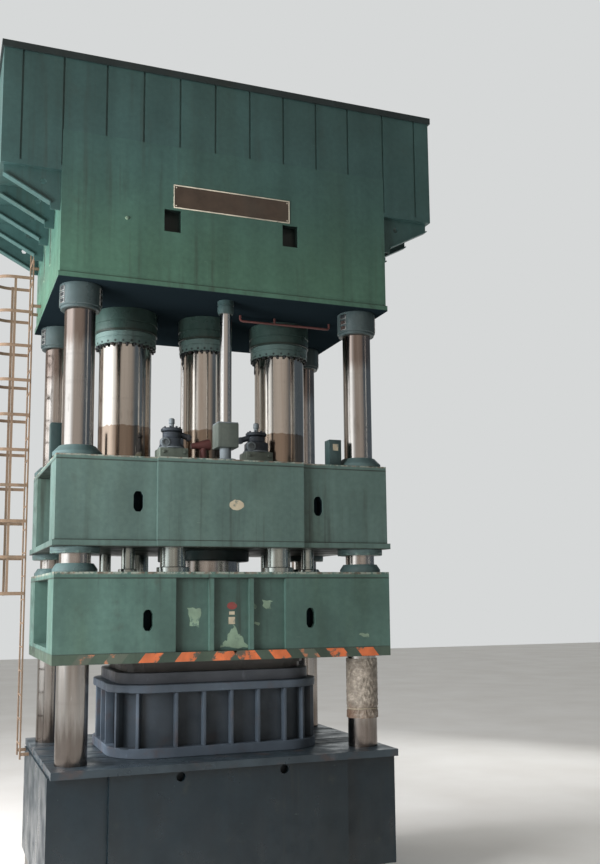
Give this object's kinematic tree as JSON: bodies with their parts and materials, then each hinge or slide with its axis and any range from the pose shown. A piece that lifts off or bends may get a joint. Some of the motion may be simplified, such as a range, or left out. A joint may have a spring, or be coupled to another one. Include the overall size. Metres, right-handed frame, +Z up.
{
  "type": "hydraulic press",
  "caption": "Four-column double-slide hydraulic press with blank-holder slide, three rams, side wings, ribbed die, ladder and cage.",
  "frame": {"origin": "middle of the press at the foot of the foundation beams, on the floor of its pit", "axes": "+Z up along the columns and rams, +X to the press's right seen from the front, -Y towards the front"},
  "size_m": [6.78, 3.5, 12.1412],
  "materials": {
    "green_paint": "satin grey-green machine paint, worn and oily",
    "dark_green_paint": "dark green paint, dirty",
    "ground_steel": "ground and oiled",
    "dark_cast_iron": "dark, oily cast surface",
    "bright_bolt_steel": "dull machined steel",
    "red_brown_paint": "red-brown paint",
    "rusty_ladder_paint": "worn orange-brown paint",
    "beige_film": "crinkled stretch film"
  },
  "bodies": {
    "frame": {"access_ladder": "rusty_ladder_paint", "bed": "dark_green_paint", "bed_nut_front_left": "bright_bolt_steel", "bed_nut_front_right": "bright_bolt_steel", "bed_nut_rear_left": "bright_bolt_steel", "bed_nut_rear_right": "bright_bolt_steel", "bolster": "dark_cast_iron", "column_front_left": "ground_steel", "column_front_right": "ground_steel", "column_rear_left": "ground_steel", "column_rear_right": "ground_steel", "column_wrap": "beige_film", "crown": "green_paint", "crown_collar_front_left": "dark_cast_iron", "crown_collar_front_right": "dark_cast_iron", "crown_collar_rear_left": "dark_cast_iron", "crown_collar_rear_right": "dark_cast_iron", "cylinder_left": "green_paint", "cylinder_middle": "green_paint", "cylinder_right": "green_paint", "die_base": "dark_cast_iron", "die_ring": "dark_cast_iron", "drain_pipe": "red_brown_paint", "ejector_cylinder": "green_paint", "foundation_beam_left": "dark_cast_iron", "foundation_beam_right": "dark_cast_iron", "gland_ring_left": "bright_bolt_steel", "gland_ring_middle": "bright_bolt_steel", "gland_ring_right": "bright_bolt_steel", "oil_tank": "green_paint", "return_gland_front": "dark_green_paint", "return_gland_rear": "dark_green_paint", "top_rim": "dark_green_paint"},
    "blank_holder": {"blank_holder_base_plate": "green_paint", "blank_holder_ring": "dark_cast_iron", "blank_holder_rod_front_left": "ground_steel", "blank_holder_rod_front_right": "ground_steel", "blank_holder_rod_rear_left": "ground_steel", "blank_holder_rod_rear_right": "ground_steel", "blank_holder_slide": "green_paint", "guide_rod_front_left": "ground_steel", "guide_rod_front_right": "ground_steel", "guide_rod_rear_left": "ground_steel", "guide_rod_rear_right": "ground_steel"},
    "draw_slide": {"cabinet_front": "dark_green_paint", "cabinet_rear": "dark_green_paint", "main_ram_left": "ground_steel", "main_ram_middle": "ground_steel", "main_ram_right": "ground_steel", "main_slide": "green_paint", "punch": "ground_steel", "punch_holder": "dark_cast_iron", "return_rod_block_front": "green_paint", "return_rod_block_rear": "green_paint", "return_rod_front": "ground_steel", "return_rod_rear": "ground_steel", "valve_block_left": "dark_cast_iron", "valve_block_right": "dark_cast_iron"},
    "ejector": {"ejector_ram": "ground_steel"}
  },
  "joints": [
    {"name": "blank_holder_stroke", "type": "slide", "parent": "frame", "child": "blank_holder", "axis": [0, 0, 1], "range_m": [0, 0.8]},
    {"name": "draw_stroke", "type": "slide", "parent": "blank_holder", "child": "draw_slide", "axis": [0, 0, 1], "range_m": [0, 0.6]},
    {"name": "ejector_stroke", "type": "slide", "parent": "frame", "child": "ejector", "axis": [0, 0, 1], "range_m": [0, 0.4]}
  ]
}
